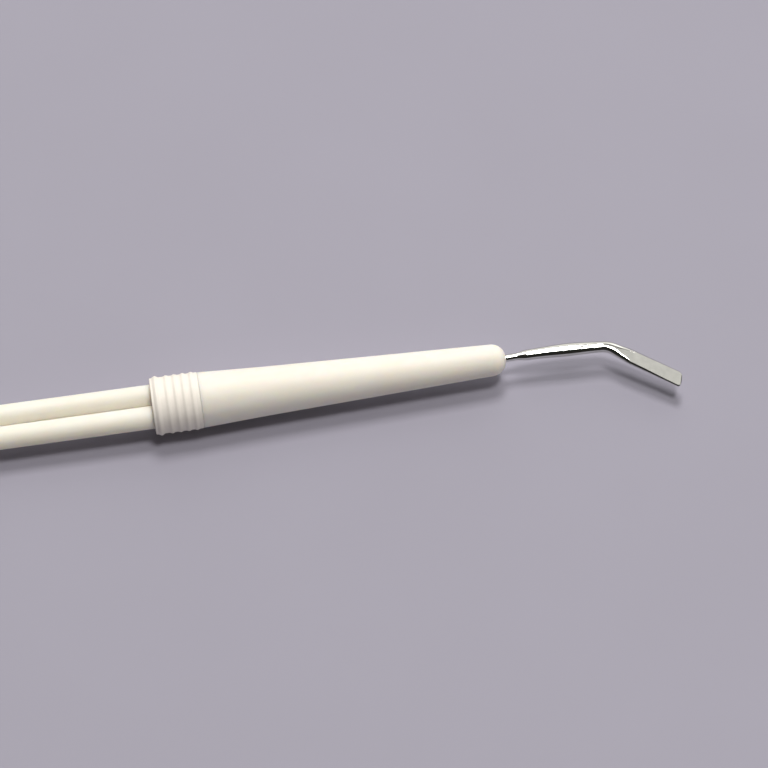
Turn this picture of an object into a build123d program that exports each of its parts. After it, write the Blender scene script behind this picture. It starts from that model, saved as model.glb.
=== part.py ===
"""Double-ended dental explorer: a white plastic handle with a steel working end at each end.

Every piece is drawn in a flat design frame: X runs along the handle towards the blade, the two rods
lie side by side in the XY plane, and the steel ends bend towards -Y. The blade bends within that
plane, and the explorer's hook in a plane turned a little further round X, down to the table.
The finished assembly is then rolled about X to the way it lies on a table, on its two collars and
the hook's point, and moved so that the middle of its underside is the origin. Millimetres.
"""
from build123d import *
from math import asin, degrees, radians, tan
import os

# Handle rods: two round rods side by side between the grips
rod_diameter = 2.88
rod_spacing = 2.90
rod_free_length = 40.0
rod_end_chamfer = 0.2

# Collars: ribbed caps on the rear of each grip cone, s = distance forward from their flat rear face
collar_length = 6.0
collar_wall = 0.9
collar_root_radius = 3.52
collar_bore_radius = 3.24
collar_edge = 0.12
lip_crest_radius = 3.73
lip_centre = 0.7
lip_width = 1.0
rib_crest_radius = 3.64
rib_first_centre = 2.06
rib_pitch = 1.04
rib_count = 4
rib_width = 0.76

# Grip cones: solid mouldings that narrow evenly to a domed nose, with a slight flare at the collar
cone_nose_station = 44.6
cone_base_radius = 3.38
cone_half_angle = 2.16
flare_radius = 3.48
flare_end_station = 14.0
nose_rounding = 1.8
spigot_radius = 3.22
socket_depth_station = 9.3
socket_web = 0.96
rod_end_gap = 0.1

# Fits between the pieces
slip_gap = 0.02

# Steel ends: round wire, moulded into the nose with a flattened anchor that stops it turning
wire_radius = 0.46
tail_length = 20.0
anchor_length = 4.0
anchor_half_width = 0.85
anchor_half_thickness = 0.25
nose_stub = 0.15

# Blade end: an almost straight oval shank, one bend, then a flat blade with a slanted, blunt end
blade_exit_bend_radius = 4.0
blade_exit_angle = 2.5
blade_arch_radius = 97.8
blade_arch_turn = 7.0
blade_bend_radius = 3.0
blade_angle = 36.0
blade_length = 9.3
shank_start_length = 2.9
shank_start_half_width = 0.68
shank_start_half_thickness = 0.58
shank_middle_length = 8.0
shank_middle_half_width = 0.84
shank_middle_half_thickness = 0.66
bend_half_width = 0.70
bend_half_thickness = 0.60
face_start_length = 2.6
face_start_half_width = 0.90
face_start_half_thickness = 0.36
blade_end_half_width = 0.93
blade_end_half_thickness = 0.20
blade_end_slant = 18.0
blade_corner_radius = 0.5

# Explorer end: the wire rises a little, then sweeps round in a hook that tapers to a point
hook_rise_bend_radius = 12.0
hook_rise_angle = 12.0
hook_rise_length = 5.0
hook_outer_radius = 10.0
hook_outer_turn = 57.0
hook_inner_radius = 6.5
hook_inner_turn = 105.0
hook_slices_per_arc = 8
point_radius = 0.08

# How the handle lies: the roll of the rods' plane towards the bend side
rest_roll = 6.0

# Places along the handle, from its middle
shoulder_x = rod_free_length / 2
nose_x = shoulder_x + cone_nose_station


def lathe(profile):
    """A solid of revolution about the handle's axis, from a closed profile above it."""
    return revolve(make_face(profile), Axis.X)


def bar(radius, length):
    """A round bar that starts at the origin and runs along X."""
    return Cylinder(radius, length, rotation=(0, 90, 0), align=(Align.CENTER, Align.CENTER, Align.MIN))


def rod_pair_openings(start_x, end_x):
    """The space that both rods fill, with the web between them opened, from start_x to end_x."""
    length = end_x - start_x
    openings = Box(length, rod_spacing, socket_web, align=(Align.MIN, Align.CENTER, Align.CENTER))
    for side in (-1, 1):
        openings += Pos(0, side * rod_spacing / 2, 0) * bar(rod_diameter / 2 + slip_gap, length)
    return Pos(start_x, 0, 0) * openings


def rod(side):
    """One handle rod, side -1 nearer the bend and 1 further from it; its ends sit in the cones."""
    reach = socket_depth_station - rod_end_gap
    length = rod_free_length + 2 * reach
    body = Cylinder(rod_diameter / 2, length, rotation=(0, 90, 0))
    body = chamfer(body.edges().filter_by(GeomType.CIRCLE), rod_end_chamfer)
    return Pos(0, side * rod_spacing / 2, 0) * body


def bead(centre, width, crest_radius):
    """The round outline of one raised ring, as an arc standing on the collar's root."""
    start = (centre - width / 2, collar_root_radius)
    crest = (centre, crest_radius)
    end = (centre + width / 2, collar_root_radius)
    return ThreePointArc(start, crest, end)


def collar():
    """Ribbed cap at the rear of the front grip, with a lip, a flat rear wall and a bore for the cone."""
    outline = [bead(lip_centre, lip_width, lip_crest_radius)]
    for index in range(rib_count):
        outline.append(bead(rib_first_centre + index * rib_pitch, rib_width, rib_crest_radius))
    corners = [(0, 0), (0, collar_root_radius - collar_edge), (collar_edge, collar_root_radius)]
    edges = [Line(corners[0], corners[1]), Line(corners[1], corners[2])]
    last = corners[2]
    for ring in outline:
        edges += [Line(last, ring @ 0), ring]
        last = ring @ 1
    front = (collar_length - collar_edge, collar_root_radius)
    front_lip = (collar_length, collar_root_radius - collar_edge)
    edges += [Line(last, front), Line(front, front_lip), Line(front_lip, (collar_length, 0))]
    edges.append(Line((collar_length, 0), (0, 0)))
    cap = lathe(edges)
    cap -= Pos(collar_wall, 0, 0) * bar(collar_bore_radius, collar_length)
    cap -= rod_pair_openings(-collar_wall, 2 * collar_wall)
    return Pos(shoulder_x, 0, 0) * cap


def tail(extra):
    """The wire's hidden tail and its flat anchor, grown by extra all round; it ends past the nose."""
    line = bar(wire_radius + extra, tail_length + nose_stub)
    anchor = Box(
        anchor_length + 2 * extra,
        2 * (anchor_half_width + extra),
        2 * (anchor_half_thickness + extra),
        align=(Align.MIN, Align.CENTER, Align.CENTER),
    )
    return Pos(nose_x - tail_length, 0, 0) * (line + Pos(-anchor_length / 2 - extra, 0, 0) * anchor)


def taper_radius(station):
    """The grip's radius on its even taper, at a distance from the collar's rear face."""
    return cone_base_radius - (station - collar_length) * tan(radians(cone_half_angle))


def cone(anchor_turn):
    """Front grip cone: spigot, taper and domed nose, holding a wire whose anchor is turned about X."""
    nose_radius = taper_radius(cone_nose_station)
    spigot_start = collar_wall + slip_gap
    shoulder = collar_length + slip_gap
    profile = Polyline(
        (spigot_start, 0),
        (spigot_start, spigot_radius),
        (shoulder, spigot_radius),
        (shoulder, flare_radius),
        (flare_end_station, taper_radius(flare_end_station)),
        (cone_nose_station, nose_radius),
        (cone_nose_station, 0),
        close=True,
    )
    face = make_face(profile)
    tip_corner = face.vertices().sort_by_distance((cone_nose_station, nose_radius))[0]
    face = fillet(tip_corner, nose_rounding)
    body = Pos(shoulder_x, 0, 0) * revolve(face, Axis.X)
    body -= rod_pair_openings(shoulder_x, shoulder_x + socket_depth_station)
    body -= Rot(anchor_turn, 0, 0) * tail(slip_gap)
    return body


def section(edge, place, half_width, half_thickness):
    """An oval slice across a centre line, half_width measured in the plane that the line bends in."""
    along = edge % place
    plane = Plane(edge @ place, x_dir=Vector(-along.Y, along.X, 0), z_dir=along)
    return plane * Ellipse(half_width, half_thickness)


def arc_on(edge, radius, turn):
    """The arc that carries a centre line on from edge; a positive turn is away from the bend side."""
    return JernArc(edge @ 1, edge % 1, radius, turn)


def smooth_step(value):
    """0 to 1 with level ends."""
    return value * value * (3 - 2 * value)


def between(low, high, share):
    """The value that lies the given share of the way from low to high."""
    return low + (high - low) * share


def size_at(sizes, distance):
    """The half width and half thickness at a distance, blended smoothly between the listed ones."""
    for (start, *low), (stop, *high) in zip(sizes, sizes[1:]):
        if distance <= stop:
            share = smooth_step((distance - start) / (stop - start))
            return [between(first, last, share) for first, last in zip(low, high)]
    return sizes[-1][1:]


def end_outline():
    """The blade's outline seen square on, from its end backwards: slanted, with rounded corners."""
    half_width = 2 * blade_end_half_width
    lean = half_width * tan(radians(blade_end_slant))
    back = -2 * blade_length
    outline = Polygon((back, -half_width), (lean, -half_width), (-lean, half_width), (back, half_width), align=None)
    end = outline & Rectangle(3 * blade_length, 2 * blade_end_half_width, align=(Align.CENTER, Align.CENTER))
    return fillet(end.vertices().sort_by(Axis.X)[-2:], blade_corner_radius)


def blade_tip():
    """Steel end with an oval shank and a flat blade that widens to a blunt, slanted end."""
    stub = Line((nose_x, 0), (nose_x + nose_stub, 0))
    exit_bend = arc_on(stub, blade_exit_bend_radius, blade_exit_angle)
    arch = arc_on(exit_bend, blade_arch_radius, -blade_arch_turn)
    bend_turn = blade_angle + blade_exit_angle - blade_arch_turn
    bend = arc_on(arch, blade_bend_radius, -bend_turn)
    blade = PolarLine(bend @ 1, blade_length, -blade_angle)
    spare_end = PolarLine(blade @ 1, blade_end_half_width, -blade_angle)

    arch_start = stub.length + exit_bend.length
    bend_start = arch_start + arch.length
    blade_start = bend_start + bend.length
    sizes = (
        (arch_start, wire_radius, wire_radius),
        (shank_start_length, shank_start_half_width, shank_start_half_thickness),
        (shank_middle_length, shank_middle_half_width, shank_middle_half_thickness),
        (bend_start, bend_half_width, bend_half_thickness),
        (blade_start + face_start_length, face_start_half_width, face_start_half_thickness),
        (blade_start + blade_length, blade_end_half_width, blade_end_half_thickness),
    )

    slices = [section(stub, 1, wire_radius, wire_radius)]
    slices.append(section(exit_bend, 1, wire_radius, wire_radius))
    for edge, start, places in (
        (arch, arch_start, (0.12, 0.24, 0.42, 0.64, 0.82, 1)),
        (bend, bend_start, (0.5, 1)),
        (blade, blade_start, (0.14, 0.28, 0.5, 0.75, 1)),
    ):
        for place in places:
            slices.append(section(edge, place, *size_at(sizes, start + edge.length * place)))
    slices.append(section(spare_end, 1, blade_end_half_width, blade_end_half_thickness))
    working_end = loft(slices)

    across_blade = Plane(blade @ 1, x_dir=blade % 1, z_dir=(0, 0, 1))
    trim = extrude(across_blade * end_outline(), wire_radius, both=True)
    behind = Plane(blade @ 0, x_dir=blade % 0, z_dir=(0, 0, 1)) * Box(
        4 * blade_length, 4 * blade_length, blade_length, align=(Align.MAX, Align.CENTER, Align.CENTER)
    )
    return tail(0) + (working_end & (trim + behind))


def explorer_tip():
    """Steel end with a hook that tapers to a fine point, and the point's centre, drawn at the front."""
    stub = Line((nose_x, 0), (nose_x + nose_stub, 0))
    rise = arc_on(stub, hook_rise_bend_radius, hook_rise_angle)
    shank = PolarLine(rise @ 1, hook_rise_length, hook_rise_angle)
    outer = arc_on(shank, hook_outer_radius, -hook_outer_turn)
    inner = arc_on(outer, hook_inner_radius, -hook_inner_turn)
    slices = [section(stub, 1, wire_radius, wire_radius)]
    for edge in (rise, shank):
        slices += [section(edge, place, wire_radius, wire_radius) for place in (0.5, 1)]
    taper_length = outer.length + inner.length
    for edge, start in ((outer, 0), (inner, outer.length)):
        for step in range(1, hook_slices_per_arc + 1):
            place = step / hook_slices_per_arc
            radius = between(wire_radius, point_radius, (start + edge.length * place) / taper_length)
            slices.append(section(edge, place, radius, radius))
    return tail(0) + loft(slices), inner @ 1


def mirrored(piece):
    """The same piece at the other end of the handle."""
    return mirror(piece, Plane.YZ)


explorer, point = explorer_tip()

# The turn that brings the hook's point down to the table that the collar lips lie on
hook_turn = degrees(asin((lip_crest_radius - point_radius) / -point.Y)) - rest_roll

front_collar = collar()
assembly = {
    "near_rod": rod(-1),
    "far_rod": rod(1),
    "front_cone": cone(0),
    "rear_cone": mirrored(cone(hook_turn)),
    "front_collar": front_collar,
    "rear_collar": mirrored(front_collar),
    "blade_tip": blade_tip(),
    "explorer_tip": mirrored(Rot(hook_turn, 0, 0) * explorer),
}

rolled = {name: Rot(rest_roll, 0, 0) * piece.solid() for name, piece in assembly.items()}
box = Compound(list(rolled.values())).bounding_box()
to_origin = Pos(-box.center().X, -box.center().Y, -box.min.Z)

os.makedirs("parts", exist_ok=True)
for name, piece in rolled.items():
    export_step(to_origin * piece, f"parts/{name}.step")
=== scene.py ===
"""Looks of the double-ended dental explorer: cream moulded plastic handle, polished steel ends.

Every shape is worked out in a design frame, in millimetres: X along the handle from its middle
towards the blade, Y in the plane of the two rods, away from the side that both steel ends bend to,
and Z square to that plane, upwards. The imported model's boxes say where that frame lies.
"""
from math import acos, asin, atan2, cos, exp, hypot, pi, radians, sin, sqrt, tan

import bmesh
import bpy
from mathutils import Matrix, Vector


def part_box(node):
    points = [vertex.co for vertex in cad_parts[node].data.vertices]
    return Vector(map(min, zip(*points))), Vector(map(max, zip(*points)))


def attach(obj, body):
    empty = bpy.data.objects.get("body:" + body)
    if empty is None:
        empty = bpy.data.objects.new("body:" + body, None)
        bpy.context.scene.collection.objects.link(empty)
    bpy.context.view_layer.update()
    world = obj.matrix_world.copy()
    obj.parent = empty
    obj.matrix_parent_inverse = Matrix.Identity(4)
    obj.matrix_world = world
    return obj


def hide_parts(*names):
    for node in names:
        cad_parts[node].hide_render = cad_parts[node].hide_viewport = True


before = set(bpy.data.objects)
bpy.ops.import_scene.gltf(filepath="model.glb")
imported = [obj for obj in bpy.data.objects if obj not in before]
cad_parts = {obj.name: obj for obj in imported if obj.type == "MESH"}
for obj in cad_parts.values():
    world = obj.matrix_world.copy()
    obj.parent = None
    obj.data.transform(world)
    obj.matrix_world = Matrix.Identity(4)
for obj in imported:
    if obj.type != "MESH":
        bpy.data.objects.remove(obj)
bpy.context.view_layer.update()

MM = 0.001

# Sizes in millimetres, and angles in degrees, that the model's boxes don't give
SLIP_GAP = 0.02
EDGE = 0.12
LEAD_IN = 0.05
ROD_CHAMFER = 0.2
PIN_PLACES = (-12.0, 0.0, 12.0)
PIN_RADIUS = 0.8
PIN_DEPTH = 0.06

COLLAR_WALL = 0.9
COLLAR_ROOT = 3.52
COLLAR_BORE = 3.24
LIP_CENTRE = 0.7
LIP_WIDTH = 1.0
RIB_CREST = 3.64
RIB_FIRST = 2.06
RIB_PITCH = 1.04
RIB_COUNT = 4
RIB_WIDTH = 0.84

SPIGOT_RADIUS = 3.22
SOCKET_DEPTH = 9.3
SOCKET_WEB = 0.96
CONE_RADIUS = 3.38
CONE_HALF_ANGLE = 2.16
FLARE_END = 14.0
NOSE_ROUNDING = 1.8
GATE_STATION = 10.5
GATE_RADIUS = 0.6
GATE_RIM = dict(width=0.07, height=0.03)
GATE_STUB = dict(share=0.55, edge=0.15, height=0.06)
GATE_WELL = dict(edge=0.1, depth=0.03)

WIRE_RADIUS = 0.46
TAIL_LENGTH = 20.0
ANCHOR = dict(length=4.0, half_width=0.85, half_thickness=0.25, neck=0.3)
NOSE_STUB = 0.15
WIRE_STEP = 0.16

BLADE_EXIT = dict(radius=4.0, turn=2.5)
BLADE_ARCH = dict(radius=97.8, turn=-7.0)
BLADE_BEND = dict(radius=3.0, turn=-31.5)
BLADE_LENGTH = 9.3
SWELL_START = 0.8
SHANK_START, SHANK_START_HALF = 2.9, (0.68, 0.58)
SHANK_MIDDLE, SHANK_MIDDLE_HALF = 8.0, (0.84, 0.66)
BEND_HALF = (0.70, 0.60)
FACE_START, FACE_START_HALF = 2.6, (0.90, 0.36)
BLADE_END_HALF = (0.93, 0.20)
BLADE_SLANT = 18.0
BLADE_LEAN = 4.0
BLADE_CORNER = 0.5
BEVEL_SHARE = 0.5
SLANT_LENGTH = 4.0
END_ROUNDING = 0.1
END_THINNESS = 0.6

HOOK_RISE = dict(radius=12.0, turn=12.0)
HOOK_SHANK = 5.0
HOOK_OUTER = dict(radius=10.0, turn=-57.0)
HOOK_INNER = dict(radius=6.5, turn=-105.0)
POINT_RADIUS = 0.05
POINT_ROUNDING = 0.12

SEAM_HEIGHT = 0.02
SEAM_WIDTH = 0.05
ROD_SEAM_SHARE = 0.6

# Powers of the wire's sections: 2 is an ellipse, and more is squarer
ROUND = 2
SHANK_SQUARING = 0.2
SHANK_SQUARING_LENGTH = 5.0
ANCHOR_SQUARENESS = 8

# Points round each kind of piece
ROD_POINTS = 72
GRIP_POINTS = 144
COLLAR_POINTS = 160
WIRE_POINTS = 64

# The camera looks at a place this share of the way along the grip, and this far to the bend's side
VIEW_SHARE = 0.6487
VIEW_OFFSET = 1.22

LAMP_WHITE = (1.0, 0.975, 0.95)
GLOW_WHITE = (1.0, 0.985, 0.95)
FILL_WHITE = (1.0, 0.98, 0.92)
ROOM_WHITE = (1.0, 0.98, 0.88)


# ---------------------------------------------------------------- the design frame

def centre_of(node):
    low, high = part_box(node)
    return (low + high) / 2


def size_of(node):
    low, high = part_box(node)
    return (high - low) / MM


near_rod_centre = centre_of("near_rod")
far_rod_centre = centre_of("far_rod")
middle = (near_rod_centre + far_rod_centre) / 2
along = Vector((1, 0, 0))
across = (far_rod_centre - near_rod_centre).normalized()
facing = along.cross(across)
design = Matrix((along, across, facing)).transposed().to_4x4()
design.translation = middle
to_world = design @ Matrix.Scale(MM, 4)

rod_radius = size_of("near_rod").z / 2
rod_offset = (far_rod_centre - near_rod_centre).length / MM / 2
rod_half_length = size_of("near_rod").x / 2
lip_radius = size_of("front_collar").z / 2
collar_length = size_of("front_collar").x
flare_radius = size_of("front_cone").z / 2
shoulder_x = (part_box("front_collar")[0].x - middle.x) / MM
nose_x = (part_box("blade_tip")[0].x - middle.x) / MM + TAIL_LENGTH + ANCHOR["length"] / 2
grip_length = nose_x - shoulder_x
rest_roll = asin(across.z)
point_drop = (middle.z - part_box("explorer_tip")[0].z) / MM - POINT_RADIUS


# ---------------------------------------------------------------- mesh helpers

def smooth_step(value):
    value = min(max(value, 0), 1)
    return value * value * (3 - 2 * value)


def between(low, high, share):
    return low + (high - low) * share


def steps(low, high, count):
    """count + 1 evenly spaced values from low to high."""
    return [between(low, high, index / count) for index in range(count + 1)]


def close_at(angle, centre):
    """The signed difference of two angles, from -pi to pi."""
    return (angle - centre + pi) % (2 * pi) - pi


def ring_angles(count, finer=(), spread=(0.4, 0.9, 1.6, 2.6)):
    """Angles round a ring, with more of them, in degrees from the centre, beside each finer angle."""
    angles = {round(2 * pi * index / count, 6) for index in range(count)}
    for centre in finer:
        nearby = radians(spread[-1]) * 1.2
        angles = {angle for angle in angles if abs(close_at(angle, centre)) > nearby}
        angles.add(round(centre % (2 * pi), 6))
        for offset in spread:
            for side in (-1, 1):
                angles.add(round((centre + side * radians(offset)) % (2 * pi), 6))
    return sorted(angles)


def closed_mesh(name, rings, ring_uv=None, loop=False, mirrored=False, sharp=35.0):
    """A closed solid through rings of design-frame points. A ring of one point is a pole.

    loop joins the last ring to the first; otherwise both ends are poles or are capped with a fan.
    mirrored puts the piece at the other end of the handle. ring_uv gives (u, v) for a ring and place.
    """
    mesh = bmesh.new()
    layer = mesh.loops.layers.uv.new("UVMap") if ring_uv else None
    flip = -1 if mirrored else 1
    made = []
    for ring in rings:
        made.append([mesh.verts.new(to_world @ Vector((flip * x, y, z))) for x, y, z in ring])
    pairs = list(zip(range(len(made)), range(1, len(made))))
    if loop:
        pairs.append((len(made) - 1, 0))
    for first, second in pairs:
        a, b = made[first], made[second]
        count = max(len(a), len(b))
        for index in range(count):
            following = (index + 1) % count
            corners = [(a, first, index), (a, first, index + 1), (b, second, index + 1), (b, second, index)]
            if len(a) == 1:
                corners.pop(1)
            if len(b) == 1:
                corners.pop()
            verts = [ring[(place if place <= index else following) % len(ring)] for ring, _, place in corners]
            face = mesh.faces.new(verts)
            if layer:
                for corner, (_, row, place) in zip(face.loops, corners):
                    corner[layer].uv = ring_uv(row, place / count)
    if not loop:
        for ring in (made[0], made[-1]):
            if len(ring) > 1:
                mesh.faces.new(ring)
    bmesh.ops.recalc_face_normals(mesh, faces=mesh.faces)
    data = bpy.data.meshes.new(name)
    mesh.to_mesh(data)
    mesh.free()
    data.shade_smooth()
    data.set_sharp_from_angle(angle=radians(sharp))
    piece = bpy.data.objects.new(name, data)
    bpy.context.scene.collection.objects.link(piece)
    return piece


def finish_piece(piece, node, material):
    """The piece stands for a CAD node, which it hides, takes the given material and moves with the handle."""
    piece.data.materials.append(material)
    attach(piece, "root")
    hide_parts(node)
    return piece


def seam(radius, angle, seams):
    """The height of the fine flash line that the mould's halves leave along a piece."""
    height = 0
    for centre in seams:
        distance = radius * close_at(angle, centre)
        if abs(distance) < 6 * SEAM_WIDTH:
            height += SEAM_HEIGHT * exp(-((distance / SEAM_WIDTH) ** 2))
    return height


def round_ring(x, radius, angles, centre_y=0.0):
    """A ring about the handle's axis, or a line beside it. radius is a number or a function of the angle."""
    points = []
    for angle in angles:
        reach = radius(angle) if callable(radius) else radius
        points.append((x, centre_y + reach * cos(angle), reach * sin(angle)))
    return points


# ---------------------------------------------------------------- shared sections

def rod_opening(angle):
    """How far the opening for both rods reaches from the handle's axis at an angle."""
    radius = rod_radius + SLIP_GAP
    web = SOCKET_WEB / 2
    reach = 0
    inside = radius ** 2 - (rod_offset * sin(angle)) ** 2
    if inside >= 0:
        reach = rod_offset * abs(cos(angle)) + sqrt(inside)
    if abs(sin(angle)) > 1e-6:
        across_web = web / abs(sin(angle))
        if across_web * abs(cos(angle)) <= rod_offset:
            reach = max(reach, across_web)
    return reach


def web_corner():
    """The angle at which that opening leaves a rod's surface for the web between the rods."""
    half_web = SOCKET_WEB / 2
    return atan2(half_web, rod_offset - sqrt((rod_radius + SLIP_GAP) ** 2 - half_web ** 2))


def oval_reach(half_width, half_thickness, squareness):
    """The reach of a rounded section from its centre, as a function of the angle."""
    def reach(angle):
        wide = abs(cos(angle) / half_width) ** squareness
        thick = abs(sin(angle) / half_thickness) ** squareness
        return (wide + thick) ** (-1 / squareness)
    return reach


def tail_sections(extra):
    """The wire's hidden tail from the nose inward, grown by extra.

    Each section is (distance behind the nose, half width, half thickness, squareness).
    """
    neck = TAIL_LENGTH - ANCHOR["length"] / 2
    wide, thick = ANCHOR["half_width"] + extra, ANCHOR["half_thickness"] + extra
    wire = WIRE_RADIUS + extra
    sections = [(neck * share, wire, wire, ROUND) for share in (0.2, 0.5, 0.8)]
    for share in steps(0, 1, 4):
        flat = smooth_step(share)
        depth = neck + ANCHOR["neck"] * (share - 0.5)
        squareness = between(ROUND, ANCHOR_SQUARENESS, flat)
        sections.append((depth, between(wire, wide, flat), between(wire, thick, flat), squareness))
    sections.append((TAIL_LENGTH, wide, thick, ANCHOR_SQUARENESS))
    sections.append((TAIL_LENGTH + ANCHOR["length"] / 2 + extra, wide, thick, ANCHOR_SQUARENESS))
    return sections


# ---------------------------------------------------------------- plastic pieces

def rod(name, side):
    """A handle rod with chamfered ends, a flash line outside and the flats that ejector pins leave."""
    seams = (0 if side > 0 else pi,)
    angles = ring_angles(ROD_POINTS, seams + (1.5 * pi,), (2, 5, 9, 14, 20, 26, 30))
    places = set(steps(-rod_half_length + ROD_CHAMFER, rod_half_length - ROD_CHAMFER, 58))
    for pin in PIN_PLACES:
        places = {x for x in places if abs(x - pin) > 1.0}
        places.add(pin)
        for offset in (0.3, 0.6, 0.78, 0.84, 0.95):
            places |= {pin - offset, pin + offset}

    def surface(x):
        def reach(angle):
            radius = rod_radius + seam(rod_radius, angle, seams) * ROD_SEAM_SHARE
            below = -sin(angle)
            for pin in PIN_PLACES:
                chord = PIN_RADIUS ** 2 - (x - pin) ** 2
                if below > 0.5 and chord > 0 and abs(rod_radius * cos(angle)) < sqrt(chord):
                    radius = min(radius, (rod_radius - PIN_DEPTH) / below)
            return radius
        return reach

    centre_y = side * rod_offset
    rings = [[(-rod_half_length, centre_y, 0)]]
    rings.append(round_ring(-rod_half_length, rod_radius - ROD_CHAMFER, angles, centre_y))
    rings += [round_ring(x, surface(x), angles, centre_y) for x in sorted(places)]
    rings.append(round_ring(rod_half_length, rod_radius - ROD_CHAMFER, angles, centre_y))
    rings.append([(rod_half_length, centre_y, 0)])
    return closed_mesh(name, rings)


def bead(station, centre, width, height):
    """The height of one raised ring, blended into the root on both sides."""
    offset = abs(station - centre) / (width / 2)
    return height * cos(pi / 2 * offset) ** 2 if offset < 1 else 0


def collar_radius(station):
    radius = COLLAR_ROOT + bead(station, LIP_CENTRE, LIP_WIDTH, lip_radius - COLLAR_ROOT)
    for index in range(RIB_COUNT):
        radius += bead(station, RIB_FIRST + index * RIB_PITCH, RIB_WIDTH, RIB_CREST - COLLAR_ROOT)
    return radius


def collar(name, mirrored):
    """The ribbed cap: a lip, fine rings, a flat rear face with the rods' opening, and a bore."""
    seams = (0, pi)
    corner = web_corner()
    corners = (corner, pi - corner, pi + corner, -corner)
    angles = ring_angles(COLLAR_POINTS, seams + corners)

    def ring(station, radius):
        return round_ring(shoulder_x + station, radius, angles)

    def with_seam(radius):
        return lambda angle: radius + seam(radius, angle, seams)

    def opening(grown):
        return lambda angle: rod_opening(angle) + grown

    rings = [ring(LEAD_IN, opening(0)), ring(0, opening(LEAD_IN))]
    for part in (0.35, 0.7, 1):
        rings.append(ring(0, lambda angle: between(rod_opening(angle), COLLAR_ROOT - EDGE, part)))
    for turn in steps(0, pi / 2, 4)[1:]:
        rings.append(ring(EDGE * (1 - cos(turn)), with_seam(COLLAR_ROOT - EDGE * (1 - sin(turn)))))
    for station in steps(EDGE, collar_length - EDGE, 120)[1:]:
        rings.append(ring(station, with_seam(collar_radius(station))))
    for turn in steps(0, pi / 2, 4)[1:]:
        station = collar_length - EDGE * (1 - sin(turn))
        rings.append(ring(station, with_seam(COLLAR_ROOT - EDGE * (1 - cos(turn)))))
    rings += [ring(collar_length, COLLAR_BORE + LEAD_IN), ring(collar_length - LEAD_IN, COLLAR_BORE)]
    rings += [ring(station, COLLAR_BORE) for station in steps(collar_length - 0.5, COLLAR_WALL, 4)]
    rings.append(ring(COLLAR_WALL, opening(0)))
    return closed_mesh(name, rings, loop=True, mirrored=mirrored, sharp=50)


def seam_fading(radius, seams, share):
    """The nose's radius, with the seam dying away towards the wire."""
    return lambda angle: radius + share * seam(max(radius, 0.3), angle, seams)


def cone(name, mirrored, wire_turn):
    """The grip: spigot and rod sockets behind, a long taper, and a domed nose round the wire."""
    seams = (0, pi)
    angles = ring_angles(GRIP_POINTS, seams + (1.5 * pi,), (0.5, 1.1, 2.0, 3.2, 5, 7, 9))
    spigot_start = COLLAR_WALL + SLIP_GAP
    shoulder = collar_length + SLIP_GAP

    def ring(station, radius):
        return round_ring(shoulder_x + station, radius, angles)

    def gate(station, angle, radius):
        """The round scar of the moulding's gate, on the side that faces the table."""
        distance = hypot(station - GATE_STATION, radius * close_at(angle, 1.5 * pi))
        rim = exp(-(((distance - GATE_RADIUS) / GATE_RIM["width"]) ** 2)) * GATE_RIM["height"]
        stub_inside = (GATE_RADIUS * GATE_STUB["share"] - distance) / GATE_STUB["edge"]
        stub = smooth_step(stub_inside + 0.5) * GATE_STUB["height"]
        well_inside = (GATE_RADIUS - distance) / GATE_WELL["edge"]
        return rim + stub - smooth_step(well_inside + 0.5) * GATE_WELL["depth"]

    def taper(station):
        """The grip's radius: an even taper, with a slight flare up to the collar."""
        radius = CONE_RADIUS - (station - shoulder) * tan(radians(CONE_HALF_ANGLE))
        return radius + (flare_radius - CONE_RADIUS) * max(0, (FLARE_END - station) / (FLARE_END - shoulder))

    def surface(station):
        base = taper(station)
        near_gate = abs(station - GATE_STATION) < 2 * GATE_RADIUS

        def reach(angle):
            radius = base + seam(base, angle, seams)
            return radius + gate(station, angle, base) if near_gate else radius
        return reach

    round_start = grip_length - NOSE_ROUNDING
    inner = taper(round_start) - NOSE_ROUNDING

    rings = [[(shoulder_x + SOCKET_DEPTH, 0, 0)]]
    rings += [ring(station, rod_opening) for station in (SOCKET_DEPTH, 5, spigot_start)]
    rings += [ring(spigot_start, SPIGOT_RADIUS - LEAD_IN), ring(spigot_start + LEAD_IN, SPIGOT_RADIUS)]
    rings += [ring(shoulder - 0.3, SPIGOT_RADIUS), ring(shoulder, SPIGOT_RADIUS)]
    rings += [ring(shoulder, flare_radius - 0.06), ring(shoulder + 0.02, flare_radius - 0.02)]
    stations = set(steps(shoulder + 0.06, round_start, 70))
    stations = {value for value in stations if abs(value - GATE_STATION) > 1.1}
    stations |= set(steps(GATE_STATION - 1.0, GATE_STATION + 1.0, 36))
    rings += [ring(station, surface(station)) for station in sorted(stations)]
    hole = WIRE_RADIUS + SLIP_GAP
    last_turn = acos((hole + 0.06 - inner) / NOSE_ROUNDING)
    for turn in steps(0, last_turn, 26)[1:]:
        radius = inner + NOSE_ROUNDING * cos(turn)
        fading = seam_fading(radius, seams, 1 - turn / last_turn)
        rings.append(ring(round_start + NOSE_ROUNDING * sin(turn), fading))
    rings.append(ring(grip_length - 0.12, hole))
    for depth, half_width, half_thickness, squareness in tail_sections(SLIP_GAP):
        reach = oval_reach(half_width, half_thickness, squareness)
        rings.append(ring(grip_length - depth, lambda angle, reach=reach: reach(angle - wire_turn)))
    end_depth = tail_sections(SLIP_GAP)[-1][0]
    rings.append([(shoulder_x + grip_length - end_depth, 0, 0)])
    return closed_mesh(name, rings, mirrored=mirrored, sharp=50)


# ---------------------------------------------------------------- steel pieces

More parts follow.
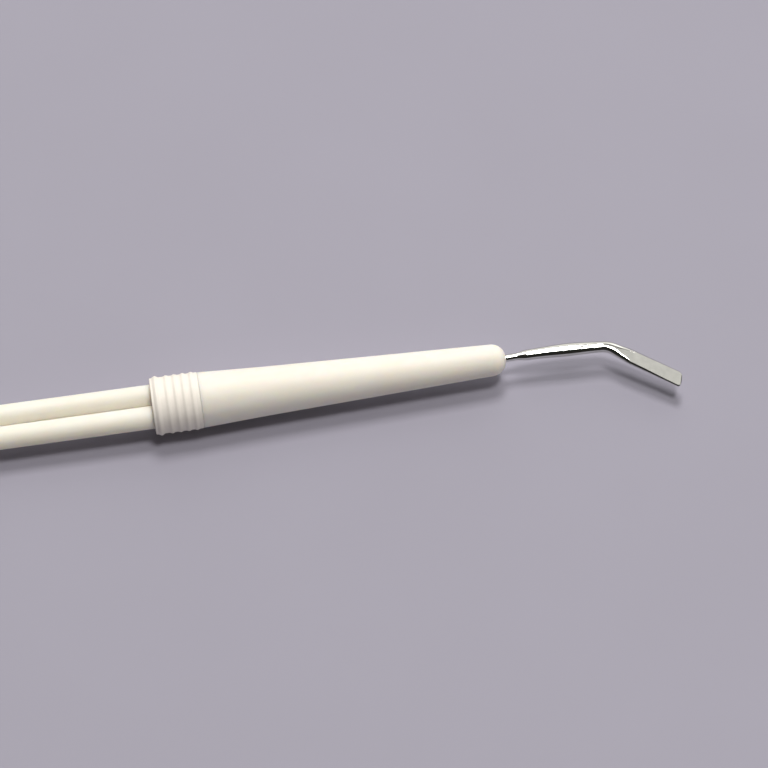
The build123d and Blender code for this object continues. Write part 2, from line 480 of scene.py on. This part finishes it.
def walk(moves, spacing):
    """Points (distance, x, y, heading) along straight runs and tangent arcs from the nose.

    Each move is (length, turn in degrees); a turn away from the bend side is positive.
    """
    x, y, heading, distance = nose_x, 0.0, 0.0, 0.0
    points = [(distance, x, y, heading)]
    for length, turn in moves:
        bend = radians(turn) / length
        for piece in steps(0, length, max(2, round(length / spacing)))[1:]:
            if turn:
                forward = (sin(heading + bend * piece) - sin(heading)) / bend
                upward = (cos(heading) - cos(heading + bend * piece)) / bend
            else:
                forward, upward = piece * cos(heading), piece * sin(heading)
            points.append((distance + piece, x + forward, y + upward, heading + bend * piece))
        distance, x, y, heading = points[-1]
    return points


def arc(radius, turn):
    return radius * radians(abs(turn)), turn


def pressed_outline(wide, thick):
    """A flat section of these half sizes with bevelled edges, as points (side, lift) from its side on."""
    bevel = thick * BEVEL_SHARE
    corners = [(wide, bevel - thick), (wide, thick - bevel), (wide - bevel, thick), (bevel - wide, thick)]
    corners += [(-side, -lift) for side, lift in corners]
    each = WIRE_POINTS // len(corners)
    points = []
    for first, second in zip(corners, corners[1:] + corners[:1]):
        for share in steps(0, 1, each)[:-1]:
            points.append((between(first[0], second[0], share), between(first[1], second[1], share)))
    half = each // 2
    return points[half:] + points[:half]


def wire_ring(x, y, heading, half_width, half_thickness, squareness, slant=0.0, lean=0.0, pressed=0.0):
    """A section across the wire, half_width within the plane that the wire bends in.

    slant moves the side away from the bend back along the wire, by slant times the width there, and
    lean is the angle that lifts that side. pressed runs from a rounded section to a flat, bevelled one.
    """
    points = []
    power = 2 / squareness
    for index, (flat_side, flat_lift) in enumerate(pressed_outline(half_width, half_thickness)):
        angle = 2 * pi * index / WIRE_POINTS
        side = half_width * abs(cos(angle)) ** power * (1 if cos(angle) >= 0 else -1)
        lift = half_thickness * abs(sin(angle)) ** power * (1 if sin(angle) >= 0 else -1)
        side, lift = between(side, flat_side, pressed), between(lift, flat_lift, pressed)
        side, lift = side * cos(lean) - lift * sin(lean), side * sin(lean) + lift * cos(lean)
        ahead = -slant * side
        across_x = ahead * cos(heading) - side * sin(heading)
        across_y = ahead * sin(heading) + side * cos(heading)
        points.append((x + across_x, y + across_y, lift))
    return points


def turned(ring, angle):
    """The ring turned about the handle's axis."""
    return [(x, y * cos(angle) - z * sin(angle), y * sin(angle) + z * cos(angle)) for x, y, z in ring]


def wire_mesh(name, centre_line, section, mirrored, turn=0.0):
    """A steel end: the tail, then the centre line, turned about the handle's axis.

    section gives what wire_ring takes after the heading, at a distance from the nose.
    """
    rings, lengths = [], []
    tail = tail_sections(0)
    end_depth = tail[-1][0]
    rings.append([(nose_x - end_depth, 0, 0)])
    lengths.append(-end_depth)
    for depth, half_width, half_thickness, squareness in reversed(tail):
        rings.append(wire_ring(nose_x - depth, 0, 0, half_width, half_thickness, squareness))
        lengths.append(-depth)
    for distance, x, y, heading in centre_line:
        rings.append(wire_ring(x, y, heading, *section(distance)))
        lengths.append(distance)
    rings.append([centre_line[-1][1:3] + (0,)])
    lengths.append(lengths[-1])

    def ring_uv(row, share):
        return lengths[row] / 10, share

    rings = [turned(ring, turn) for ring in rings]
    return closed_mesh(name, rings, ring_uv=ring_uv, mirrored=mirrored, sharp=40)


def blade(name):
    """The blade end: the wire widens to an oval shank, bends once and is pressed flat and wider."""
    moves = [
        (NOSE_STUB, 0),
        arc(**BLADE_EXIT),
        arc(**BLADE_ARCH),
        arc(**BLADE_BEND),
        (BLADE_LENGTH - BLADE_CORNER, 0),
    ]
    line = walk(moves, WIRE_STEP)
    arch_start = NOSE_STUB + moves[1][0]
    bend_start = arch_start + moves[2][0]
    blade_start = bend_start + moves[3][0]
    end = blade_start + BLADE_LENGTH
    distance, x, y, heading = line[-1]
    for turn in steps(0, pi / 2, 20)[1:]:
        ahead = BLADE_CORNER * sin(turn)
        line.append((distance + ahead, x + ahead * cos(heading), y + ahead * sin(heading), heading))
    stages = [
        (arch_start + SWELL_START, (WIRE_RADIUS, WIRE_RADIUS)),
        (SHANK_START, SHANK_START_HALF),
        (SHANK_MIDDLE, SHANK_MIDDLE_HALF),
        (bend_start, BEND_HALF),
        (blade_start + FACE_START, FACE_START_HALF),
        (end, BLADE_END_HALF),
    ]

    def section(distance):
        half_width, half_thickness = stages[0][1]
        for (start, low), (stop, high) in zip(stages, stages[1:]):
            if distance > start:
                share = smooth_step((distance - start) / (stop - start))
                half_width = between(low[0], high[0], share)
                half_thickness = between(low[1], high[1], share)
        flatness = smooth_step((distance - blade_start) / FACE_START)
        squareness = ROUND + SHANK_SQUARING * smooth_step(distance / SHANK_SQUARING_LENGTH)
        slant = tan(radians(BLADE_SLANT)) * smooth_step((distance - end) / SLANT_LENGTH + 1)
        left = max(end - distance, 0)
        if left < BLADE_CORNER:
            half_width -= BLADE_CORNER - sqrt(BLADE_CORNER ** 2 - (BLADE_CORNER - left) ** 2)
        if left < END_ROUNDING:
            half_thickness *= END_THINNESS + (1 - END_THINNESS) * sqrt(left / END_ROUNDING)
        return half_width, half_thickness, squareness, slant, radians(BLADE_LEAN) * flatness, flatness

    return wire_mesh(name, line, section, False)


def hook_moves():
    return [(NOSE_STUB, 0), arc(**HOOK_RISE), (HOOK_SHANK, 0), arc(**HOOK_OUTER), arc(**HOOK_INNER)]


def hook_turn():
    """How far the hook turns on from the rods' plane, so that its point comes down to the table."""
    reach = -walk(hook_moves(), WIRE_STEP)[-1][2]
    return asin(point_drop / reach) - rest_roll


def hook(name):
    """The explorer end: a slight rise, then a hook that tapers to a fine point."""
    moves = hook_moves()
    line = walk(moves, WIRE_STEP)
    taper_start = sum(length for length, _ in moves[:3])
    end = line[-1][0]

    def section(distance):
        share = max(0, (distance - taper_start) / (end - taper_start))
        radius = between(WIRE_RADIUS, POINT_RADIUS, share)
        radius *= sqrt(max(0.04, min(1, (end - distance) / POINT_ROUNDING)))
        return radius, radius, ROUND

    return wire_mesh(name, line, section, True, hook_turn())


# ---------------------------------------------------------------- materials

def new_material(name):
    material = bpy.data.materials.new(name)
    material.use_nodes = True
    tree = material.node_tree
    shader = tree.nodes["Principled BSDF"]
    return material, tree, shader


def add(tree, kind, **inputs):
    """A node with the named inputs set to a value, or linked where an output socket is given."""
    node = tree.nodes.new(kind)
    for name, value in inputs.items():
        socket = node.inputs[name.replace("_", " ")]
        if isinstance(value, bpy.types.NodeSocket):
            tree.links.new(value, socket)
        else:
            socket.default_value = value
    return node


def noise(tree, place, scale, detail=2.0, roughness=0.5, distortion=0.0):
    """Smooth noise. scale is in repeats over a metre of the piece, or over one unit of its UV map."""
    node = add(
        tree, "ShaderNodeTexNoise", Vector=place, Scale=scale, Detail=detail, Roughness=roughness,
        Distortion=distortion,
    )
    return node.outputs["Fac"]


def ramp(tree, value, low, high, low_position=0.3, high_position=0.7):
    """A value or colour that runs from low to high as value runs between two positions."""
    node = tree.nodes.new("ShaderNodeMapRange")
    node.inputs["From Min"].default_value = low_position
    node.inputs["From Max"].default_value = high_position
    node.inputs["To Min"].default_value = low
    node.inputs["To Max"].default_value = high
    tree.links.new(value, node.inputs["Value"])
    return node.outputs["Result"]


def blend_colour(tree, share, low, high):
    """A colour that runs from low to high as share runs from 0 to 1."""
    node = tree.nodes.new("ShaderNodeMix")
    node.data_type = "RGBA"
    colours = [socket for socket in node.inputs if socket.type == "RGBA"]
    for socket, colour in zip(colours, (low, high)):
        socket.default_value = (*colour, 1)
    tree.links.new(share, node.inputs["Factor"])
    return next(socket for socket in node.outputs if socket.type == "RGBA")


def bumps(tree, shader, layers):
    """Layers of relief, each (height output, distance in millimetres), stacked on the surface."""
    normal = None
    for height, distance in layers:
        bump = add(tree, "ShaderNodeBump", Height=height, Distance=distance * MM, Strength=1.0)
        if normal:
            tree.links.new(normal, bump.inputs["Normal"])
        normal = bump.outputs["Normal"]
    tree.links.new(normal, shader.inputs["Normal"])


def plastic(name, light, shade, gloss, glow, depth):
    """Cream moulded plastic with faint cloudiness, a fine mould texture and a soft gloss.

    glow is how much of the light goes through the surface, and depth how far it travels there, in
    millimetres.
    """
    material, tree, shader = new_material(name)
    place = tree.nodes.new("ShaderNodeTexCoord").outputs["Object"]
    cloud = noise(tree, place, 260, detail=3, roughness=0.55, distortion=0.4)
    streaked = add(tree, "ShaderNodeMapping", Vector=place, Scale=(0.12, 1, 1)).outputs["Vector"]
    flow = noise(tree, streaked, 900, detail=3)
    tone = tree.nodes.new("ShaderNodeMath")
    tone.operation = "ADD"
    tree.links.new(cloud, tone.inputs[0])
    tree.links.new(flow, tone.inputs[1])
    share = ramp(tree, tone.outputs["Value"], 0, 1, 0.75, 1.25)
    tree.links.new(blend_colour(tree, share, shade, light), shader.inputs["Base Color"])
    mottle = noise(tree, place, 1500, detail=4)
    tree.links.new(ramp(tree, mottle, gloss - 0.05, gloss + 0.07), shader.inputs["Roughness"])
    grain = noise(tree, place, 7000, detail=3)
    scratched = add(tree, "ShaderNodeMapping", Vector=place, Scale=(0.05, 1, 1)).outputs["Vector"]
    draw_lines = noise(tree, scratched, 9000, detail=2)
    sink = noise(tree, place, 180, detail=1)
    bumps(tree, shader, [(sink, 0.03), (grain, 0.0035), (draw_lines, 0.0025)])
    shader.inputs["IOR"].default_value = 1.52
    shader.inputs["Subsurface Weight"].default_value = glow
    shader.inputs["Subsurface Radius"].default_value = (1.0, 0.8, 0.55)
    shader.inputs["Subsurface Scale"].default_value = depth * MM
    shader.inputs["Specular IOR Level"].default_value = 0.3
    return material


def steel(name):
    """Polished stainless wire: fine lines along it, a satin haze and faint specks."""
    material, tree, shader = new_material(name)
    wrapped = tree.nodes.new("ShaderNodeTexCoord").outputs["UV"]
    place = tree.nodes.new("ShaderNodeTexCoord").outputs["Object"]
    long_lines = add(tree, "ShaderNodeMapping", Vector=wrapped, Scale=(3, 40, 1)).outputs["Vector"]
    lines = noise(tree, long_lines, 4, detail=5, roughness=0.65)
    haze = noise(tree, place, 700, detail=3)
    tree.links.new(
        blend_colour(tree, ramp(tree, haze, 0, 1), (0.60, 0.60, 0.57), (0.68, 0.68, 0.645)),
        shader.inputs["Base Color"],
    )
    tree.links.new(ramp(tree, lines, 0.05, 0.10), shader.inputs["Roughness"])
    grit = noise(tree, place, 9000, detail=2)
    bumps(tree, shader, [(lines, 0.0005), (grit, 0.0003)])
    shader.inputs["Metallic"].default_value = 1.0
    return material


def tabletop():
    """Plain pale lavender-grey surface, almost without texture."""
    material, tree, shader = new_material("table_surface")
    place = tree.nodes.new("ShaderNodeTexCoord").outputs["Object"]
    faint = noise(tree, place, 40, detail=3)
    tree.links.new(
        blend_colour(tree, ramp(tree, faint, 0, 1), (0.364, 0.351, 0.418), (0.371, 0.358, 0.427)),
        shader.inputs["Base Color"],
    )
    shader.inputs["Roughness"].default_value = 0.8
    shader.inputs["Specular IOR Level"].default_value = 0.2
    return material


# ---------------------------------------------------------------- the object

rod_plastic = plastic("rod_cream_plastic", (0.94, 0.885, 0.79), (0.91, 0.855, 0.75), 0.50, 0.7, 2.6)
grip_plastic = plastic("grip_cream_plastic", (0.94, 0.89, 0.81), (0.91, 0.86, 0.77), 0.50, 0.8, 0.6)
collar_plastic = plastic("collar_cream_plastic", (0.95, 0.90, 0.82), (0.925, 0.87, 0.785), 0.52, 0.0, 0.6)
wire_steel = steel("stainless_wire")

finish_piece(rod("rod_near_moulded", -1), "near_rod", rod_plastic)
finish_piece(rod("rod_far_moulded", 1), "far_rod", rod_plastic)
finish_piece(cone("grip_front_moulded", False, 0), "front_cone", grip_plastic)
finish_piece(cone("grip_rear_moulded", True, hook_turn()), "rear_cone", grip_plastic)
finish_piece(collar("collar_front_ribbed", False), "front_collar", collar_plastic)
finish_piece(collar("collar_rear_ribbed", True), "rear_collar", collar_plastic)
finish_piece(blade("blade_end_steel"), "blade_tip", wire_steel)
finish_piece(hook("explorer_end_steel"), "explorer_tip", wire_steel)


# ---------------------------------------------------------------- table, light and camera

def table_top():
    half = 3.0
    data = bpy.data.meshes.new("table")
    corners = [(-half, -half, 0), (half, -half, 0), (half, half, 0), (-half, half, 0)]
    data.from_pydata(corners, [], [(0, 1, 2, 3)])
    table = bpy.data.objects.new("table", data)
    bpy.context.scene.collection.objects.link(table)
    data.materials.append(tabletop())


def softbox(name, tilt, sideways, distance, size, power, colour):
    """A light aimed at the handle, its direction given by the angles from straight above in degrees.

    tilt is towards the far side and sideways towards the blade. distance and size are in metres.
    """
    data = bpy.data.lights.new(name, "AREA")
    data.shape = "RECTANGLE"
    data.size, data.size_y = size
    data.energy = power
    data.color = colour
    lamp = bpy.data.objects.new(name, data)
    bpy.context.scene.collection.objects.link(lamp)
    direction = Vector((sin(radians(sideways)), sin(radians(tilt)), cos(radians(tilt)))).normalized()
    lamp.location = aim + direction * distance
    lamp.rotation_euler = direction.to_track_quat("Z", "Y").to_euler()


def room_light(strength):
    """Dim, even light from the room."""
    world = bpy.data.worlds.new("room")
    world.use_nodes = True
    background = world.node_tree.nodes["Background"]
    background.inputs["Color"].default_value = (*ROOM_WHITE, 1)
    background.inputs["Strength"].default_value = strength
    bpy.context.scene.world = world


def camera_over(point, elevation, azimuth, picture_width, lens):
    """A long lens that looks down at a point; azimuth 0 looks along +Y."""
    data = bpy.data.cameras.new("camera")
    data.lens = lens
    data.sensor_width = 36
    data.clip_start = 0.01
    data.clip_end = 10
    camera = bpy.data.objects.new("camera", data)
    bpy.context.scene.collection.objects.link(camera)
    high, turn = radians(elevation), radians(azimuth)
    back = Vector((sin(turn) * cos(high), -cos(turn) * cos(high), sin(high)))
    camera.location = point + back * (picture_width * lens / data.sensor_width)
    camera.rotation_euler = back.to_track_quat("Z", "Y").to_euler()
    bpy.context.scene.camera = camera


aim = design @ Vector(((shoulder_x + VIEW_SHARE * grip_length) * MM, -VIEW_OFFSET * MM, 0))
table_top()
softbox("overhead_light", -2, 9, 2.0, (0.38, 0.38), 15.1, LAMP_WHITE)
softbox("back_light", 23.5, 3.5, 2.0, (0.54, 0.54), 19.2, LAMP_WHITE)
softbox("ceiling_glow", 12, 6, 2.3, (2.0, 1.1), 5.0, GLOW_WHITE)
softbox("far_wall_glow", 60, 10, 2.4, (2.3, 2.2), 18.1, GLOW_WHITE)
softbox("right_wall_glow", 44.8, 80, 2.4, (1.8, 1.8), 7.0, GLOW_WHITE)
softbox("near_fill", -71, 48.6, 2.2, (0.9, 0.9), 4.8, FILL_WHITE)
room_light(0.025)
camera_over(aim, elevation=60, azimuth=-8.97, picture_width=0.096, lens=120)
bpy.context.scene.view_settings.view_transform = "Standard"
